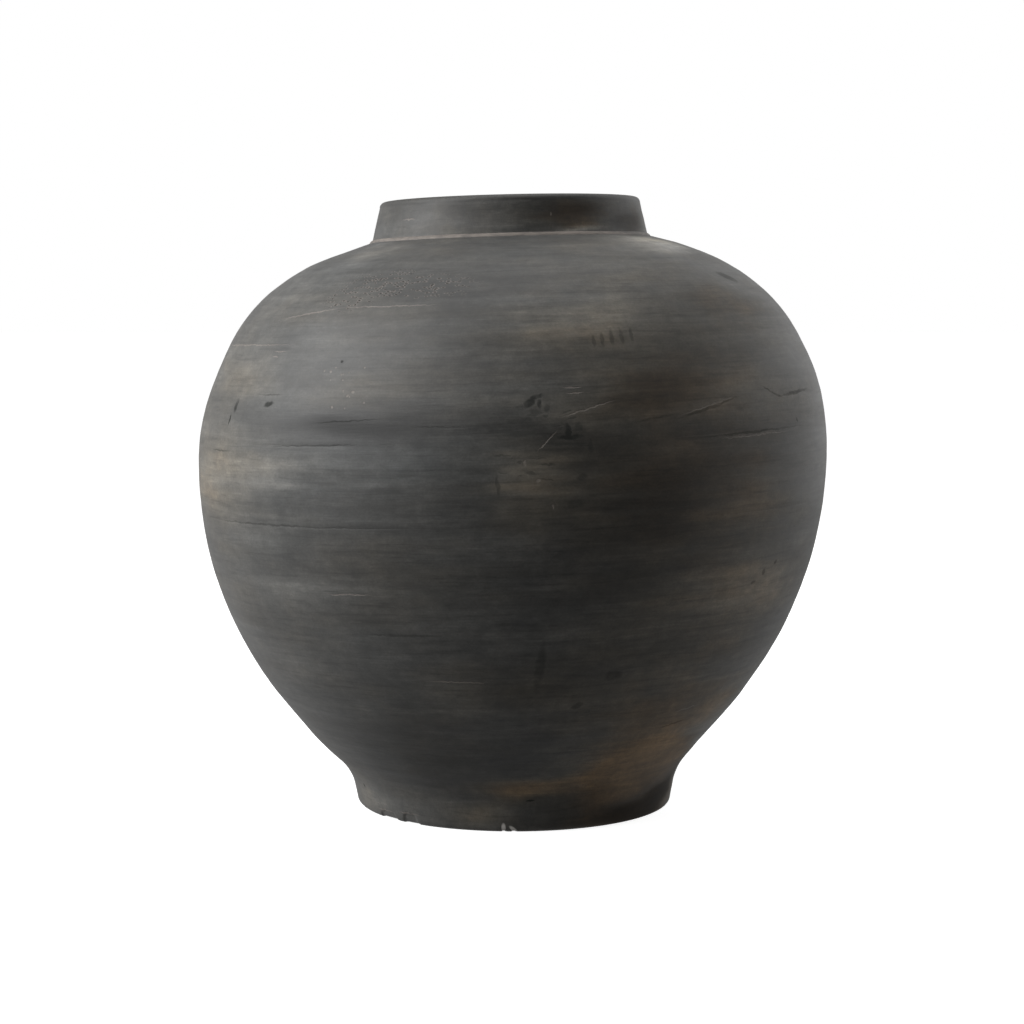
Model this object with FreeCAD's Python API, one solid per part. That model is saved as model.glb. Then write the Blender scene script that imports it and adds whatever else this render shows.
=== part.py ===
"""A coil-built black clay jar: a wide round belly on a low foot, with a short open neck.

The jar is hollow and round about Z. It stands on z = 0 with its axis on the origin.
It is cut along the seams between the clay bands that the potter joined, so each band is
one solid. Every joint slopes down towards the inside, where the upper band was pressed
over the lower one. All lengths are in millimetres and all angles in degrees.
"""
import FreeCAD, Part
import math
import os

from FreeCAD import Vector

# Outer shape, from the foot up. Each arc runs smoothly into the next.
foot_radius = 100.5           # outer edge of the standing face, before its corner is rounded
foot_lean = 11.5              # the foot's wall leans out by this much as it rises
foot_hollow_arc = 38.0        # hollow curve between the foot and the flank
flank_arc = 438.0             # long curve above the foot
lower_belly_arc = 244.0       # curve below the widest point
lower_belly_sweep = 36.5      # how much of that curve there is
belly_radius = 200.5          # widest point
belly_height = 223.0          # height of the widest point
upper_belly_arc = 158.0       # curve above the widest point
upper_belly_sweep = 26.5
shoulder_arc = 112.0          # tighter curve that closes over towards the neck
shoulder_end = 70.5           # angle of the curve where it runs out straight to the neck
neck_root_radius = 87.6       # where the neck rises from the shoulder
lip_radius = 82.0             # the neck narrows a little towards its lip
rim_height = 387.8

# Inside and underside
wall = 10.5                   # thickness of every band
mouth_radius = 74.0
throat_round = 5.0            # rounding from the mouth into the jar
floor_top = 17.0
underside_recess = 3.0        # the floor is lifted this far off the ground
recess_radius = 80.0          # where the recess meets the foot ring

# Rounded edges
foot_edge_round = 4.0
foot_inner_edge_round = 2.0
lip_outer_round = 3.5
lip_inner_round = 3.5

# Seams between the bands, as heights on the outside
foot_seam = 23.0
flank_seam = 104.0
low_belly_seam = 157.0
mid_belly_seam = 195.0
high_belly_seam = 242.0
shoulder_seam = 300.0
lip_seam = 379.0
scarf_drop = 8.0              # how far a joint falls as it crosses the wall
neck_joint_drop = 7.0
lip_joint_drop = 2.5
base_disc_top_radius = 66.0   # the base disc's edge is cut back to this at its top
foot_joint_knee = (100.0, 21.0)  # radius and height of the bend in the foot ring's joint

# Coils pressed into corners
bead_round = 1.4              # thin bead of slip round the root of the neck
bead_offset = (0.5, 0.3)      # its centre, out from and up from the neck's root
corner_coil_inner = 56.0      # coil pressed between the floor and the wall
corner_coil_top = 36.0
corner_coil_edge = 1.5        # thickness left at its two edges
corner_coil_fill = 6.0        # its depth over the corner

AXIS = Vector(0, 0, 1)
ORIGIN = Vector(0, 0, 0)
OUTSIDE = 24.0                # cutting regions run this far past the outer face
INSIDE = 14.0                 # and this far past the inner face


def at(radius, height):
    """A point of the section, which lies in the XZ plane."""
    return Vector(radius, 0, height)


def polar(degrees):
    """Unit direction at an angle above the horizontal."""
    return at(math.cos(math.radians(degrees)), math.sin(math.radians(degrees)))


def line(start, end):
    return Part.LineSegment(start, end).toShape()


def arc_through(start, middle, end):
    return Part.Arc(start, middle, end).toShape()


def face_of(edges):
    return Part.Face(Part.Wire(edges))


def region(points):
    """A flat face bounded by straight lines through the points."""
    return Part.Face(Part.makePolygon(points + [points[0]]))


class ProfileArc:
    """One arc of the outer profile, between two angles about its centre."""

    def __init__(self, centre, radius, low, high):
        self.centre = centre
        self.radius = radius
        self.low = low
        self.high = high

    def point(self, degrees, inset=0.0):
        return self.centre + polar(degrees) * (self.radius - inset)

    def edge(self, inset=0.0, low=None):
        start = self.low if low is None else low
        middle = (start + self.high) / 2
        return arc_through(
            self.point(start, inset), self.point(middle, inset), self.point(self.high, inset))

    def angle_at_height(self, height, inset=0.0):
        rise = (height - self.centre.z) / (self.radius - inset)
        return math.degrees(math.asin(rise))

    def covers(self, height):
        return self.point(self.low).z <= height <= self.point(self.high).z


def rounded_corner(before, corner, after, radius):
    """Start, middle and end of the arc that rounds the corner of two straight lines."""
    towards_before = (before - corner).normalize()
    towards_after = (after - corner).normalize()
    half = towards_before.getAngle(towards_after) / 2
    bisector = (towards_before + towards_after).normalize()
    start = corner + towards_before * (radius / math.tan(half))
    end = corner + towards_after * (radius / math.tan(half))
    middle = corner + bisector * (radius / math.sin(half) - radius)
    return start, middle, end


def foot_hollow(flank_centre):
    """Centre of the hollow arc that touches the foot's wall and the flank from outside."""
    up_wall = at(math.sin(math.radians(foot_lean)), math.cos(math.radians(foot_lean)))
    out_of_wall = at(math.cos(math.radians(foot_lean)), -math.sin(math.radians(foot_lean)))
    start = at(foot_radius, 0) + out_of_wall * foot_hollow_arc
    to_start = start - flank_centre
    along = to_start.dot(up_wall)
    reach = flank_arc + foot_hollow_arc
    travel = -along - math.sqrt(along ** 2 - to_start.dot(to_start) + reach ** 2)
    return start + up_wall * travel, out_of_wall


# Centres of the profile's arcs
upper_centre = at(belly_radius - upper_belly_arc, belly_height)
shoulder_centre = upper_centre + polar(upper_belly_sweep) * (upper_belly_arc - shoulder_arc)
lower_centre = at(belly_radius - lower_belly_arc, belly_height)
flank_centre = lower_centre + polar(-lower_belly_sweep) * (lower_belly_arc - flank_arc)
hollow_centre, out_of_foot = foot_hollow(flank_centre)

to_hollow = hollow_centre - flank_centre
hollow_angle = math.degrees(math.atan2(to_hollow.z, to_hollow.x))

flank = ProfileArc(flank_centre, flank_arc, hollow_angle, -lower_belly_sweep)
lower_belly = ProfileArc(lower_centre, lower_belly_arc, -lower_belly_sweep, 0)
upper_belly = ProfileArc(upper_centre, upper_belly_arc, 0, upper_belly_sweep)
shoulder = ProfileArc(shoulder_centre, shoulder_arc, upper_belly_sweep, shoulder_end)
profile = [flank, lower_belly, upper_belly, shoulder]
up_the_ramp = polar(shoulder_end + 90)
ramp_start = shoulder.point(shoulder_end)
neck_root = ramp_start + up_the_ramp * ((neck_root_radius - ramp_start.x) / up_the_ramp.x)
lip_corner = at(lip_radius, rim_height)


def outer_edges():
    """The outside, from the foot's outer edge up to the root of the neck."""
    foot_wall_top = hollow_centre - out_of_foot * foot_hollow_arc
    hollow_end = flank.point(hollow_angle)
    towards_flank = (hollow_end - hollow_centre).normalize()
    hollow_middle = hollow_centre + (towards_flank - out_of_foot).normalize() * foot_hollow_arc
    start, middle, end = rounded_corner(
        at(recess_radius, 0), at(foot_radius, 0), foot_wall_top, foot_edge_round)
    edges = [arc_through(start, middle, end), line(end, foot_wall_top)]
    edges.append(arc_through(foot_wall_top, hollow_middle, hollow_end))
    edges += [part.edge() for part in profile]
    edges.append(line(ramp_start, neck_root))
    return start, edges


def neck_edges():
    """Up the outside of the neck, over the lip, down the mouth and round the throat."""
    outer_start, outer_middle, outer_end = rounded_corner(
        neck_root, lip_corner, at(mouth_radius, rim_height), lip_outer_round)
    inner_start, inner_middle, inner_end = rounded_corner(
        lip_corner, at(mouth_radius, rim_height), at(mouth_radius, 0), lip_inner_round)
    inner_ramp = shoulder.point(shoulder_end, wall)
    throat = inner_ramp + up_the_ramp * ((mouth_radius - inner_ramp.x) / up_the_ramp.x)
    throat_start, throat_middle, throat_end = rounded_corner(
        at(mouth_radius, rim_height), throat, inner_ramp, throat_round)
    return [
        line(neck_root, outer_start),
        arc_through(outer_start, outer_middle, outer_end),
        line(outer_end, inner_start),
        arc_through(inner_start, inner_middle, inner_end),
        line(inner_end, throat_start),
        arc_through(throat_start, throat_middle, throat_end),
        line(throat_end, inner_ramp),
    ]


def pot_section():
    """The whole jar's section on one side of its axis."""
    foot_start, edges = outer_edges()
    floor_angle = flank.angle_at_height(floor_top, wall)
    floor_corner = flank.point(floor_angle, wall)
    edges += neck_edges()
    edges.append(shoulder.edge(wall))
    edges.append(upper_belly.edge(wall))
    edges.append(lower_belly.edge(wall))
    edges.append(flank.edge(wall, low=floor_angle))
    edges.append(line(floor_corner, at(0, floor_top)))
    edges.append(line(at(0, floor_top), at(0, underside_recess)))
    recess_corner = at(recess_radius, underside_recess)
    edges.append(line(at(0, underside_recess), recess_corner))
    step_foot = at(recess_radius + underside_recess, 0)
    start, middle, end = rounded_corner(
        recess_corner, step_foot, foot_start, foot_inner_edge_round)
    edges += [line(recess_corner, start), arc_through(start, middle, end), line(end, foot_start)]
    return face_of(edges), floor_corner


def joint(height):
    """Outer and inner ends of the joint at a seam, carried past both faces of the wall."""
    part = next(arc for arc in profile if arc.covers(height))
    angle = part.angle_at_height(height)
    outer = part.point(angle)
    down_the_wall = polar(angle - 90)
    inner = part.point(angle, wall) + down_the_wall * scarf_drop
    inwards = (inner - outer) / wall
    return outer - inwards * OUTSIDE, inner + inwards * INSIDE


def band(lower_seam, upper_seam):
    """The region between two joints of the wall."""
    lower_outer, lower_inner = joint(lower_seam)
    upper_outer, upper_inner = joint(upper_seam)
    return region([lower_outer, upper_outer, upper_inner, lower_inner])


def cutting_regions():
    """Flat regions that share the section out between the bands, without gap or overlap."""
    recess_corner = at(recess_radius, underside_recess)
    disc_top = at(base_disc_top_radius, floor_top)
    disc_over = at(base_disc_top_radius, floor_top + INSIDE)
    knee = at(*foot_joint_knee)
    hollow_depth = math.sqrt(foot_hollow_arc ** 2 - (foot_seam - hollow_centre.z) ** 2)
    seam_point = at(hollow_centre.x - hollow_depth, foot_seam)
    beyond_foot = seam_point + (seam_point - knee).normalize() * OUTSIDE
    flank_outer, flank_inner = joint(flank_seam)
    shoulder_outer, shoulder_inner = joint(shoulder_seam)
    neck_inner = at(mouth_radius - INSIDE, neck_root.z - neck_joint_drop)
    lip_outer = at(lip_radius + OUTSIDE, lip_seam + lip_joint_drop)
    lip_inner = at(mouth_radius - INSIDE, lip_seam - lip_joint_drop)
    sky = rim_height + OUTSIDE
    return {
        "base_disc": region([
            at(0, 0), at(recess_radius, 0), recess_corner, disc_top, disc_over,
            at(0, floor_top + INSIDE)]),
        "foot_ring": region([
            recess_corner, knee, beyond_foot, at(beyond_foot.x, -INSIDE),
            at(recess_radius, -INSIDE)]),
        "flank_band": region([
            recess_corner, knee, beyond_foot, flank_outer, flank_inner, disc_over, disc_top]),
        "lower_belly_band": band(flank_seam, low_belly_seam),
        "mid_belly_band": band(low_belly_seam, mid_belly_seam),
        "wide_belly_band": band(mid_belly_seam, high_belly_seam),
        "lower_shoulder_band": band(high_belly_seam, shoulder_seam),
        "upper_shoulder_band": region([
            shoulder_outer, at(neck_root_radius + OUTSIDE, sky), neck_root, neck_inner,
            shoulder_inner]),
        "neck_collar": region([neck_root, lip_outer, lip_inner, neck_inner]),
        "lip_coil": region([
            lip_outer, at(lip_radius + OUTSIDE, sky), at(mouth_radius - INSIDE, sky), lip_inner]),
    }


def bead_section(pot):
    """A round bead in the corner outside the root of the neck."""
    centre = neck_root + at(*bead_offset)
    circle = Part.Circle(centre, Vector(0, -1, 0), bead_round).toShape()
    return face_of([circle]).cut(pot)


def corner_coil_section(pot, floor_corner):
    """A coil smeared into the corner between the floor and the wall, thin at both edges."""
    floor_edge = at(corner_coil_inner, floor_top + corner_coil_edge)
    wall_angle = flank.angle_at_height(corner_coil_top, wall)
    wall_edge = flank.point(wall_angle, wall + corner_coil_edge)
    towards_jar = (floor_edge - floor_corner).normalize() + (wall_edge - floor_corner).normalize()
    crest = floor_corner + towards_jar.normalize() * corner_coil_fill
    in_wall = flank.point(wall_angle, wall / 2)
    in_corner = at(floor_corner.x, floor_top - wall / 2)
    in_floor = at(corner_coil_inner, floor_top - wall / 2)
    outline = [
        line(in_floor, floor_edge),
        arc_through(floor_edge, crest, wall_edge),
        line(wall_edge, in_wall),
        line(in_wall, in_corner),
        line(in_corner, in_floor),
    ]
    return face_of(outline).cut(pot)


def turned(section):
    """The one solid that a section sweeps out about the axis."""
    solid = section.Faces[0].revolve(ORIGIN, AXIS, 360)
    return solid.Solids[0] if solid.Solids else Part.Solid(solid)


def main():
    pot, floor_corner = pot_section()
    sections = {name: pot.common(area) for name, area in cutting_regions().items()}
    sections["neck_joint_bead"] = bead_section(pot)
    sections["inner_corner_coil"] = corner_coil_section(pot, floor_corner)
    os.makedirs("parts", exist_ok=True)
    for name, section in sections.items():
        if len(section.Faces) != 1:
            raise ValueError(f"{name} has {len(section.Faces)} faces in its section")
        solid = turned(section)
        if not solid.isValid():
            raise ValueError(f"{name} is not a valid solid")
        solid.exportStep(f"parts/{name}.step")
        box = solid.optimalBoundingBox()
        low, high = round(box.ZMin, 2), round(box.ZMax, 2)
        print(f"{name}: {solid.Volume / 1000:.1f} cm3, z {low} to {high}, r {box.XMax:.2f}")


main()
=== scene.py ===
import math

import bpy
import numpy as np
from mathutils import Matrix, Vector


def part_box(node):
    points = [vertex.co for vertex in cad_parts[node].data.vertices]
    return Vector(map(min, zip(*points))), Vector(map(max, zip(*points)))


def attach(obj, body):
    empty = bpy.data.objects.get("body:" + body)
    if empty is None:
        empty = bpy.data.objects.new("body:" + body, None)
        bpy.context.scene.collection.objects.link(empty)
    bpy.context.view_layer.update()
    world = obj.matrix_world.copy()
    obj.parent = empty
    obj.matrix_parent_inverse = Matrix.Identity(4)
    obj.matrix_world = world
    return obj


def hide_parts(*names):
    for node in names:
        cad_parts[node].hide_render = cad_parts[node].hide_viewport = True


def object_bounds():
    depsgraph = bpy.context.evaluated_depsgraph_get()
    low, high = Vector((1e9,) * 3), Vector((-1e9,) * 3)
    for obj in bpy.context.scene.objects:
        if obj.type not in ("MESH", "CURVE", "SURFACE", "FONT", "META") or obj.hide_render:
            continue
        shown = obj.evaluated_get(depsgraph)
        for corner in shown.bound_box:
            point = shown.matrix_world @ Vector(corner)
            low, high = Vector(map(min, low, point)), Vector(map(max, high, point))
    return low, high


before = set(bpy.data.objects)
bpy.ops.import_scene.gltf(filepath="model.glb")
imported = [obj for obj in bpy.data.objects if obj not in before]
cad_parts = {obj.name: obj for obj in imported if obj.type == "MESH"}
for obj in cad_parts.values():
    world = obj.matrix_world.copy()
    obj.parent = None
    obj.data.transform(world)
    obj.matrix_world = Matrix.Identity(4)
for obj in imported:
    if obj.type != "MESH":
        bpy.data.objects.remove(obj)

cad_low, cad_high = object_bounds()

# ---------------------------------------------------------------- the jar's section
# Lengths in metres, angles in degrees. The section is drawn at x > 0 in the XZ plane, as one
# path that goes up the outside, over the lip, down the inside and along the floor.
MM = 0.001
BELLY_RADIUS = cad_high.x
RIM_HEIGHT = cad_high.z
BELLY_HEIGHT = 223 * MM
WALL = 10.5 * MM
FLOOR_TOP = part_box("base_disc")[1].z
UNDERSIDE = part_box("base_disc")[0].z
RECESS_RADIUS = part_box("base_disc")[1].x
DISC_TOP_RADIUS = 66 * MM
FOOT_RADIUS = 100.5 * MM
FOOT_LEAN = 11.5
FOOT_HOLLOW_ARC = 38 * MM
FOOT_EDGE_ROUND = 4 * MM
FOOT_KNEE = (100 * MM, 21 * MM)
FLANK_ARC = 438 * MM
LOWER_ARC, LOWER_SWEEP = 244 * MM, 36.5
UPPER_ARC, UPPER_SWEEP = 158 * MM, 26.5
SHOULDER_ARC, SHOULDER_END = 112 * MM, 70.5
NECK_ROOT_RADIUS = 87.6 * MM
LIP_RADIUS = 82.0 * MM
LIP_OUTER_ROUND = 3.5 * MM
LIP_INNER_ROUND = 3.5 * MM
MOUTH_RADIUS = 74 * MM
THROAT_ROUND = 5 * MM
SCARF_DROP = 8 * MM
NECK_JOINT_FALL = 3.45 * MM     # how far the neck's joint falls from its root to the mouth
LIP_JOINT_FALL = 1.07 * MM
BEAD_TOP = (-0.55 * MM, 1.7 * MM)       # the bead's three places are out and up from the neck's root
BEAD_CREST = (1.25 * MM, 1.0 * MM)
BEAD_FOOT = (1.9 * MM, -0.85 * MM)
BEAD_FACING = 45
BEAD_WIDTH = 3.6 * MM
CORNER_COIL_INNER = 56 * MM
CORNER_COIL_TOP = 36 * MM
CORNER_COIL_EDGE = 1.5 * MM
CORNER_COIL_FILL = 6 * MM

PATH_STEP = 0.1 * MM            # spacing of the points that the section is drawn with


def unit(degrees):
    """The unit vector at an angle."""
    return np.array([math.cos(math.radians(degrees)), math.sin(math.radians(degrees))])


def arc_rows(centre, radius, start, end, facing=1.0):
    """Points x, z along an arc with the normals of the clay's face; facing is -1 in a hollow."""
    count = max(2, int(abs(radius * math.radians(end - start)) / PATH_STEP))
    angles = np.radians(np.linspace(start, end, count))
    normals = np.stack([np.cos(angles), np.sin(angles)], 1)
    return np.hstack([centre + normals * radius, normals * facing])


def line_rows(start, end):
    """Points along a straight line, with the normal on its right as it is walked."""
    start, end = np.asarray(start, float), np.asarray(end, float)
    length = np.linalg.norm(end - start)
    count = max(2, int(length / PATH_STEP))
    along = (end - start) / length
    points = start + np.linspace(0, 1, count)[:, None] * (end - start)
    return np.hstack([points, np.tile([along[1], -along[0]], (count, 1))])


def rounding(before, corner, after, radius, facing=1.0):
    """The arc that rounds the corner of two straight lines."""
    before, corner, after = (np.asarray(p, float) for p in (before, corner, after))
    back = (before - corner) / np.linalg.norm(before - corner)
    on = (after - corner) / np.linalg.norm(after - corner)
    half = math.acos(np.clip(back @ on, -1, 1)) / 2
    middle = (back + on) / np.linalg.norm(back + on)
    centre = corner + middle * radius / math.sin(half)
    start = corner + back * radius / math.tan(half) - centre
    end = corner + on * radius / math.tan(half) - centre
    start_angle = math.degrees(math.atan2(start[1], start[0]))
    end_angle = math.degrees(math.atan2(end[1], end[0]))
    turn = (end_angle - start_angle + 180) % 360 - 180
    return arc_rows(centre, radius, start_angle, start_angle + turn, facing)


def section_path():
    """Outside, inside and underside as rows x, z, normal x, normal z, and the places that joints use."""
    upper_centre = np.array([BELLY_RADIUS - UPPER_ARC, BELLY_HEIGHT])
    shoulder_centre = upper_centre + unit(UPPER_SWEEP) * (UPPER_ARC - SHOULDER_ARC)
    lower_centre = np.array([BELLY_RADIUS - LOWER_ARC, BELLY_HEIGHT])
    flank_centre = lower_centre + unit(-LOWER_SWEEP) * (LOWER_ARC - FLANK_ARC)
    up_ramp = unit(SHOULDER_END + 90)
    ramp_start = shoulder_centre + unit(SHOULDER_END) * SHOULDER_ARC
    neck_root = ramp_start + up_ramp * (NECK_ROOT_RADIUS - ramp_start[0]) / up_ramp[0]

    out_of_foot = unit(-FOOT_LEAN)
    up_foot = unit(90 - FOOT_LEAN)
    start = np.array([FOOT_RADIUS, 0.0]) + out_of_foot * FOOT_HOLLOW_ARC
    to_start = start - flank_centre
    along = to_start @ up_foot
    reach = FLANK_ARC + FOOT_HOLLOW_ARC
    travel = -along - math.sqrt(along ** 2 - to_start @ to_start + reach ** 2)
    hollow_centre = start + up_foot * travel
    to_hollow = hollow_centre - flank_centre
    hollow_angle = math.degrees(math.atan2(to_hollow[1], to_hollow[0]))
    wall_top = hollow_centre - out_of_foot * FOOT_HOLLOW_ARC

    foot_round = rounding((RECESS_RADIUS, 0), (FOOT_RADIUS, 0), wall_top, FOOT_EDGE_ROUND)
    lip_corner = (LIP_RADIUS, RIM_HEIGHT)
    mouth_corner = (MOUTH_RADIUS, RIM_HEIGHT)
    lip_round = rounding(neck_root, lip_corner, mouth_corner, LIP_OUTER_ROUND)
    lip_inner = rounding(lip_corner, mouth_corner, (MOUTH_RADIUS, 0), LIP_INNER_ROUND)
    inner_ramp = shoulder_centre + unit(SHOULDER_END) * (SHOULDER_ARC - WALL)
    throat_corner = inner_ramp + up_ramp * (MOUTH_RADIUS - inner_ramp[0]) / up_ramp[0]
    throat = rounding(mouth_corner, throat_corner, inner_ramp, THROAT_ROUND, -1)
    floor_rise = (FLOOR_TOP - flank_centre[1]) / (FLANK_ARC - WALL)
    floor_angle = math.degrees(math.asin(floor_rise))
    floor_corner = flank_centre + unit(floor_angle) * (FLANK_ARC - WALL)

    outside = [
        foot_round,
        line_rows(foot_round[-1, :2], wall_top),
        arc_rows(hollow_centre, FOOT_HOLLOW_ARC, 180 - FOOT_LEAN, 180 + hollow_angle, -1),
        arc_rows(flank_centre, FLANK_ARC, hollow_angle, -LOWER_SWEEP),
        arc_rows(lower_centre, LOWER_ARC, -LOWER_SWEEP, 0),
        arc_rows(upper_centre, UPPER_ARC, 0, UPPER_SWEEP),
        arc_rows(shoulder_centre, SHOULDER_ARC, UPPER_SWEEP, SHOULDER_END),
        line_rows(ramp_start, neck_root),
        line_rows(neck_root, lip_round[0, :2]),
    ]
    inside = [
        lip_round,
        line_rows(lip_round[-1, :2], lip_inner[0, :2]),
        lip_inner,
        line_rows(lip_inner[-1, :2], throat[0, :2]),
        throat,
        line_rows(throat[-1, :2], inner_ramp),
        arc_rows(shoulder_centre, SHOULDER_ARC - WALL, SHOULDER_END, UPPER_SWEEP, -1),
        arc_rows(upper_centre, UPPER_ARC - WALL, UPPER_SWEEP, 0, -1),
        arc_rows(lower_centre, LOWER_ARC - WALL, 0, -LOWER_SWEEP, -1),
        arc_rows(flank_centre, FLANK_ARC - WALL, -LOWER_SWEEP, floor_angle, -1),
        line_rows(floor_corner, (0, FLOOR_TOP)),
    ]
    step = (RECESS_RADIUS + UNDERSIDE, 0.0)
    under = [
        line_rows((0, UNDERSIDE), (RECESS_RADIUS, UNDERSIDE)),
        line_rows((RECESS_RADIUS, UNDERSIDE), step),
        line_rows(step, foot_round[0, :2]),
    ]
    return (np.vstack(outside), np.vstack(inside), np.vstack(under),
            {"neck_root": neck_root, "flank": flank_centre, "floor_corner": floor_corner})


OUTSIDE, INSIDE, UNDER, PLACES = section_path()


def path_lengths(rows):
    """How far along its path each row lies."""
    steps = np.linalg.norm(np.diff(rows[:, :2], axis=0), axis=1)
    return np.concatenate([[0], np.cumsum(steps)])


# Path length s: negative under the foot, 0 where the outside starts, and on past the rim inside.
OUT_S = path_lengths(OUTSIDE)
IN_S = path_lengths(INSIDE) + OUT_S[-1]
UNDER_S = path_lengths(UNDER) - path_lengths(UNDER)[-1]


def outside_at(height):
    """Path length where the outside passes a height."""
    beyond = max(0.0, height - OUTSIDE[-1, 1])
    return float(np.interp(height, OUTSIDE[:, 1], OUT_S)) + beyond


def inside_near(point):
    """Path length of the inside's nearest point."""
    return float(IN_S[np.argmin(np.hypot(*(INSIDE[:, :2] - point).T))])


# ---------------------------------------------------------------- seams, from the frame
SEAM_HEIGHT = {
    "foot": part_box("foot_ring")[1].z,
    "flank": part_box("flank_band")[1].z,
    "low_belly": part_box("lower_belly_band")[1].z,
    "mid_belly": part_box("mid_belly_band")[1].z,
    "high_belly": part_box("wide_belly_band")[1].z,
    "shoulder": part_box("lower_shoulder_band")[1].z,
    "lip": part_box("neck_collar")[1].z,
}
SEAM_S = {name: outside_at(height) for name, height in SEAM_HEIGHT.items()}
SEAM_S["neck"] = float(OUT_S[np.argmin(np.hypot(*(OUTSIDE[:, :2] - PLACES["neck_root"]).T))])


def inner_end(seam):
    """Where a wall seam's joint comes out on the inside."""
    row = OUTSIDE[np.searchsorted(OUT_S, SEAM_S[seam])]
    down = np.array([row[3], -row[2]])
    return inside_near(row[:2] - row[2:4] * WALL + down * SCARF_DROP)


BELLY_SEAMS = ["flank", "low_belly", "mid_belly", "high_belly", "shoulder"]
INNER_S = {seam: inner_end(seam) for seam in BELLY_SEAMS}
INNER_S["neck"] = inside_near((MOUTH_RADIUS, PLACES["neck_root"][1] - NECK_JOINT_FALL))
INNER_S["lip"] = inside_near((MOUTH_RADIUS, SEAM_HEIGHT["lip"] - LIP_JOINT_FALL))
INNER_S["floor_corner"] = inside_near(PLACES["floor_corner"])
INNER_S["disc"] = inside_near((DISC_TOP_RADIUS, FLOOR_TOP))

# ---------------------------------------------------------------- unevenness of the hand
AROUND = 720                    # points round the jar
OUTER_STEP = 1.6 * MM
EDGE_STEP = 0.8 * MM            # closer rows beside a seam and on the foot's edge
INNER_STEP = 4 * MM
AZIMUTH = (np.arange(AROUND) / AROUND * 2 - 1) * math.pi    # 0 at the front, + towards +X
FOOT_EDGE_S = outside_at(9 * MM)
MAP_RADIUS = 0.2                # radius in metres of the cylinder that noise and marks are drawn on
FIELD_ROWS = 997                # rows of a random field before it repeats
FIELD_START = 200.0             # rows left free below s = 0

# Stretches of a seam that still show: seam, azimuth from, to, depth in mm.
OPEN_SEAMS = [
    ("mid_belly", -72, -4, 0.14), ("mid_belly", 30, 66, 0.12), ("mid_belly", 120, 190, 0.12),
    ("high_belly", 28, 62, 0.16), ("high_belly", -54, -26, 0.10), ("high_belly", 200, 260, 0.12),
    ("shoulder", -84, -46, 0.14), ("shoulder", 95, 150, 0.12),
    ("low_belly", -36, -25, 0.12), ("low_belly", 150, 185, 0.10),
    ("flank", -17, -5, 0.14), ("flank", -140, -95, 0.12),
]


def smooth(value, low, high):
    """Rises from 0 at low to 1 at high with no corner."""
    t = np.clip((value - low) / (high - low), 0, 1)
    return t * t * (3 - 2 * t)


def wavering(azimuth, along, cells, spacing, seed):
    """Smooth random field from -1 to 1 that closes round the jar.

    cells is how many go round it, spacing is a cell's length along the path, seed picks the pattern.
    """
    values = np.random.default_rng(seed).uniform(-1, 1, (FIELD_ROWS, cells))
    across = (azimuth / (2 * math.pi) % 1.0) * cells
    up = along / spacing + FIELD_START
    row, cell = np.floor(up).astype(int), np.floor(across).astype(int)
    to_next_row, to_next_cell = smooth(up - row, 0, 1), smooth(across - cell, 0, 1)

    def corner(rows_on, cells_on):
        return values[(row + rows_on) % FIELD_ROWS, (cell + cells_on) % cells]

    low = corner(0, 0) * (1 - to_next_cell) + corner(0, 1) * to_next_cell
    high = corner(1, 0) * (1 - to_next_cell) + corner(1, 1) * to_next_cell
    return low * (1 - to_next_row) + high * to_next_row


def bump(value, centre, width):
    """1 at centre, and falling to nothing within about two widths."""
    return np.exp(-((value - centre) / width) ** 2)


def turned_from(azimuth, degrees):
    """Angle in degrees from a place round the jar, between -180 and 180."""
    return (np.degrees(azimuth) - degrees + 180) % 360 - 180


# Flakes off the foot's lower edge: azimuth and half width (degrees), height (mm).
FOOT_CHIPS = [(-51, 6, 5.0), (-39.5, 4.5, 6.5), (-3.7, 1.8, 4.5), (-0.2, 2.0, 2.8),
              (118, 6, 6.5), (-150, 4, 4.5)]
FOOT_CHIP_DEPTH = 0.8
RIM_CHIP = (6.5, 1.6, 1.6 * MM, 0.9)    # azimuth and width (degrees), width along s (metres), depth (mm)


def foot_chips(azimuth, s):
    """Depth in mm of the flakes broken off the foot's lower edge."""
    ragged = 1.5 * wavering(azimuth, s * 0, 90, 1.0, 51) + 0.8 * wavering(azimuth, s, 150, 2 * MM, 52)
    depth = 0
    for place, half_width, height in FOOT_CHIPS:
        inside = smooth(half_width - np.abs(turned_from(azimuth, place)), 0, 2.5)
        reach = outside_at(height * MM) * inside + ragged * MM
        depth = depth + FOOT_CHIP_DEPTH * inside * smooth(reach - s, 0, 1.2 * MM) * (s >= 0)
    return depth


def outer_relief(azimuth, s):
    """How far the outside stands off its true shape, in metres. It is added up in millimetres."""
    relief = 0.07 * wavering(azimuth, s, 3, 5 * MM, 11)
    relief += 0.16 * wavering(azimuth, s, 5, 17 * MM, 12)
    relief += 0.16 * wavering(azimuth, s, 26, 33 * MM, 13)
    relief += 0.04 * wavering(azimuth, s, 60, 4 * MM, 14)
    for name, start, end, depth in OPEN_SEAMS:
        middle, half = (start + end) / 2, (end - start) / 2
        inside = smooth(half - np.abs(turned_from(azimuth, middle)), 0, 5)
        wander = 0.5 * MM * wavering(azimuth, s * 0, 30, 1.0, 21)
        relief -= depth * inside * bump(s, SEAM_S[name] + wander, 0.8 * MM)
    relief += 0.12 * wavering(azimuth, s, 70, 7 * MM, 15) * smooth(s, SEAM_S["lip"], OUT_S[-1])
    relief *= smooth(s, -1 * MM, 9 * MM)
    place, width, height, chip_depth = RIM_CHIP
    rim_chip = bump(turned_from(azimuth, place), 0, width) * bump(s, OUT_S[-1] + 1 * MM, height)
    return (relief - chip_depth * rim_chip - foot_chips(azimuth, s)) * MM


RIDGE_SPACING = 11 * MM
RIDGE_CLIMB = 6 * MM


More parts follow.
